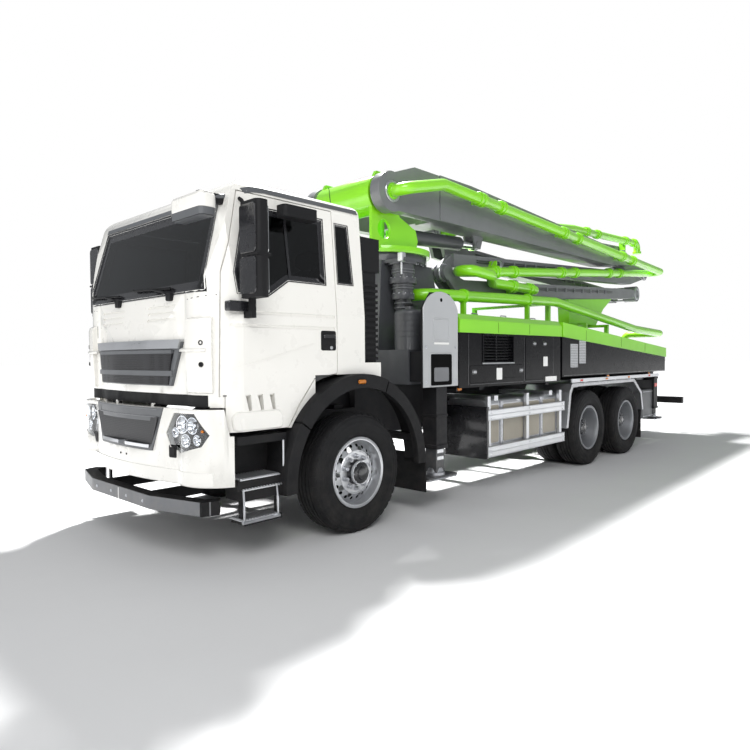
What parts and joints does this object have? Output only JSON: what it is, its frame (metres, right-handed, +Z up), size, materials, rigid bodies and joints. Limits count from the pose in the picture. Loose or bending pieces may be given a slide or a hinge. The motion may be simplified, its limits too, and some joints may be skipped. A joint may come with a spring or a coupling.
{
  "type": "concrete pump truck",
  "caption": "Three-axle truck with a forward cab, a slewing folding concrete boom, side outriggers and a rear hopper.",
  "frame": {"origin": "on the ground under the middle of the overall length and width", "axes": "+X forward, +Y to the left side, +Z up"},
  "size_m": [11.124, 2.84, 3.9602],
  "materials": {
    "chassis_black": "satin paint",
    "frame_grey": "satin paint",
    "cab_white": "gloss paint",
    "lamp": "clear lens",
    "trim_black": "grained",
    "deck_green": "gloss paint",
    "box_black": "gloss paint",
    "guard": "brushed",
    "pipe_green": "gloss paint",
    "grille_grey": "satin",
    "glass": "tinted",
    "interior": "grained",
    "tyre": "moulded rubber",
    "front_rim": "polished",
    "rear_rim": "satin paint",
    "steel": "machined",
    "boom_grey": "gloss paint",
    "rod": "hard chrome"
  },
  "bodies": {
    "chassis": {"frame": "chassis_black", "axles": "chassis_black", "engine": "frame_grey", "bumper": "cab_white", "lamps": "lamp", "steps": "trim_black", "pedestal": "frame_grey", "deck_covers": "deck_green", "side_panels": "box_black", "side_guards": "guard", "pump_unit": "frame_grey", "deck_pipe": "pipe_green"},
    "cab": {"cab_shell": "cab_white", "grille": "grille_grey", "cab_glass": "glass", "cab_interior": "interior", "cab_trim": "trim_black"},
    "door_left": {"door_left": "cab_white", "door_left_glass": "glass", "door_left_mirror": "trim_black"},
    "door_right": {"door_right": "cab_white", "door_right_glass": "glass", "door_right_mirror": "trim_black"},
    "knuckle_left": {"knuckle_left": "chassis_black"},
    "front_left_wheel": {"front_left_tyre": "tyre", "front_left_rim": "front_rim"},
    "drive_1_left_wheels": {"drive_1_left_tyres": "tyre", "drive_1_left_rims": "rear_rim"},
    "drive_2_left_wheels": {"drive_2_left_tyres": "tyre", "drive_2_left_rims": "rear_rim"},
    "knuckle_right": {"knuckle_right": "chassis_black"},
    "front_right_wheel": {"front_right_tyre": "tyre", "front_right_rim": "front_rim"},
    "drive_1_right_wheels": {"drive_1_right_tyres": "tyre", "drive_1_right_rims": "rear_rim"},
    "drive_2_right_wheels": {"drive_2_right_tyres": "tyre", "drive_2_right_rims": "rear_rim"},
    "front_beam_left": {"front_beam_left": "frame_grey"},
    "front_foot_left": {"front_foot_left": "steel"},
    "rear_arm_left": {"rear_arm_left": "chassis_black"},
    "rear_foot_left": {"rear_foot_left": "steel"},
    "front_beam_right": {"front_beam_right": "frame_grey"},
    "front_foot_right": {"front_foot_right": "steel"},
    "rear_arm_right": {"rear_arm_right": "chassis_black"},
    "rear_foot_right": {"rear_foot_right": "steel"},
    "turret": {"turret": "pipe_green"},
    "arm_1": {"arm_1": "boom_grey", "pipe_1": "pipe_green"},
    "arm_2": {"arm_2": "boom_grey", "pipe_2": "pipe_green"},
    "arm_3": {"arm_3": "boom_grey", "pipe_3": "pipe_green"},
    "arm_4": {"arm_4": "boom_grey", "pipe_4": "pipe_green"},
    "arm_5": {"arm_5": "boom_grey", "pipe_5": "pipe_green"},
    "lift_barrel": {"lift_barrel": "boom_grey"},
    "lift_rod": {"lift_rod": "rod"},
    "hopper_grate": {"hopper_grate": "chassis_black"},
    "agitator": {"agitator": "steel"}
  },
  "joints": [
    {"name": "door_left_hinge", "type": "hinge", "parent": "cab", "child": "door_left", "pos_m": [5.281, 1.155, 1.5], "axis": [0, 0, -1], "range_deg": [0, 70]},
    {"name": "door_right_hinge", "type": "hinge", "parent": "cab", "child": "door_right", "pos_m": [5.281, -1.155, 1.5], "axis": [0, 0, 1], "range_deg": [0, 70]},
    {"name": "cab_tilt", "type": "hinge", "parent": "chassis", "child": "cab", "pos_m": [5.402, 0, 1.165], "axis": [0, 1, 0], "range_deg": [0, 60]},
    {"name": "steer_left", "type": "hinge", "parent": "chassis", "child": "knuckle_left", "pos_m": [3.942, 0.88, 0.53], "axis": [0, 0, 1], "range_deg": [-35, 35]},
    {"name": "front_left_spin", "type": "hinge", "parent": "knuckle_left", "child": "front_left_wheel", "pos_m": [3.942, 1.04, 0.53], "axis": [0, 1, 0], "continuous": true},
    {"name": "drive_1_left_spin", "type": "hinge", "parent": "chassis", "child": "drive_1_left_wheels", "pos_m": [-0.658, 0.92, 0.53], "axis": [0, 1, 0], "continuous": true},
    {"name": "drive_2_left_spin", "type": "hinge", "parent": "chassis", "child": "drive_2_left_wheels", "pos_m": [-2.008, 0.92, 0.53], "axis": [0, 1, 0], "continuous": true},
    {"name": "steer_right", "type": "hinge", "parent": "chassis", "child": "knuckle_right", "pos_m": [3.942, -0.88, 0.53], "axis": [0, 0, 1], "range_deg": [-35, 35]},
    {"name": "front_right_spin", "type": "hinge", "parent": "knuckle_right", "child": "front_right_wheel", "pos_m": [3.942, -1.04, 0.53], "axis": [0, 1, 0], "continuous": true},
    {"name": "drive_1_right_spin", "type": "hinge", "parent": "chassis", "child": "drive_1_right_wheels", "pos_m": [-0.658, -0.92, 0.53], "axis": [0, 1, 0], "continuous": true},
    {"name": "drive_2_right_spin", "type": "hinge", "parent": "chassis", "child": "drive_2_right_wheels", "pos_m": [-2.008, -0.92, 0.53], "axis": [0, 1, 0], "continuous": true},
    {"name": "front_beam_left_slide", "type": "slide", "parent": "chassis", "child": "front_beam_left", "axis": [0, 1, 0], "range_m": [0, 1.9]},
    {"name": "front_foot_left_slide", "type": "slide", "parent": "front_beam_left", "child": "front_foot_left", "axis": [0, 0, -1], "range_m": [0, 0.45]},
    {"name": "rear_arm_left_swing", "type": "hinge", "parent": "chassis", "child": "rear_arm_left", "pos_m": [-2.788, 0.7, 1], "axis": [0, 0, -1], "range_deg": [0, 60]},
    {"name": "rear_foot_left_slide", "type": "slide", "parent": "rear_arm_left", "child": "rear_foot_left", "axis": [0, 0, -1], "range_m": [0, 0.5]},
    {"name": "front_beam_right_slide", "type": "slide", "parent": "chassis", "child": "front_beam_right", "axis": [0, -1, 0], "range_m": [0, 1.9]},
    {"name": "front_foot_right_slide", "type": "slide", "parent": "front_beam_right", "child": "front_foot_right", "axis": [0, 0, -1], "range_m": [0, 0.45]},
    {"name": "rear_arm_right_swing", "type": "hinge", "parent": "chassis", "child": "rear_arm_right", "pos_m": [-2.788, -0.7, 1], "axis": [0, 0, 1], "range_deg": [0, 60]},
    {"name": "rear_foot_right_slide", "type": "slide", "parent": "rear_arm_right", "child": "rear_foot_right", "axis": [0, 0, -1], "range_m": [0, 0.5]},
    {"name": "boom_slew", "type": "hinge", "parent": "chassis", "child": "turret", "pos_m": [2.392, 0, 2.7], "axis": [0, 0, 1], "range_deg": [-180, 180]},
    {"name": "arm_1_lift", "type": "hinge", "parent": "turret", "child": "arm_1", "pos_m": [2.812, 0, 3.32], "axis": [0, 1, 0], "range_deg": [0, 85]},
    {"name": "arm_2_unfold", "type": "hinge", "parent": "arm_1", "child": "arm_2", "pos_m": [-5.008, 0, 3.19], "axis": [0, 1, 0], "range_deg": [0, 180]},
    {"name": "arm_3_unfold", "type": "hinge", "parent": "arm_2", "child": "arm_3", "pos_m": [1.592, 0, 2.59], "axis": [0, 1, 0], "range_deg": [-180, 0]},
    {"name": "arm_4_unfold", "type": "hinge", "parent": "arm_3", "child": "arm_4", "pos_m": [-4.608, 0, 2.76], "axis": [0, 1, 0], "range_deg": [-180, 0]},
    {"name": "arm_5_unfold", "type": "hinge", "parent": "arm_4", "child": "arm_5", "pos_m": [1.092, 0, 3.19], "axis": [0, 1, 0], "range_deg": [0, 180]},
    {"name": "lift_barrel_pivot", "type": "hinge", "parent": "turret", "child": "lift_barrel", "pos_m": [2.412, 0.28, 2.95], "axis": [0, 1, 0], "range_deg": [0, 90]},
    {"name": "lift_rod_slide", "type": "slide", "parent": "lift_barrel", "child": "lift_rod", "axis": [-0.9987, 0, 0.0509], "range_m": [0, 0.756]},
    {"name": "grate_hinge", "type": "hinge", "parent": "chassis", "child": "hopper_grate", "pos_m": [-3.938, 0, 1.52], "axis": [0, 1, 0], "range_deg": [0, 85]},
    {"name": "agitator_spin", "type": "hinge", "parent": "chassis", "child": "agitator", "pos_m": [-4.408, 0, 1.08], "axis": [0, 1, 0], "continuous": true}
  ],
  "couplings": [
    {"joint": "steer_right", "follows": "steer_left", "ratio": 1},
    {"joint": "boom_slew", "follows": "arm_1_lift", "ratio": 1.2},
    {"joint": "arm_2_unfold", "follows": "arm_1_lift", "ratio": 0.18},
    {"joint": "arm_3_unfold", "follows": "arm_1_lift", "ratio": -1},
    {"joint": "arm_4_unfold", "follows": "arm_1_lift", "ratio": -0.8},
    {"joint": "arm_5_unfold", "follows": "arm_1_lift", "ratio": 0.9},
    {"joint": "lift_barrel_pivot", "follows": "arm_1_lift", "ratio": 1.0068},
    {"joint": "lift_rod_slide", "follows": "arm_1_lift", "m_per_rad": 0.49611}
  ]
}
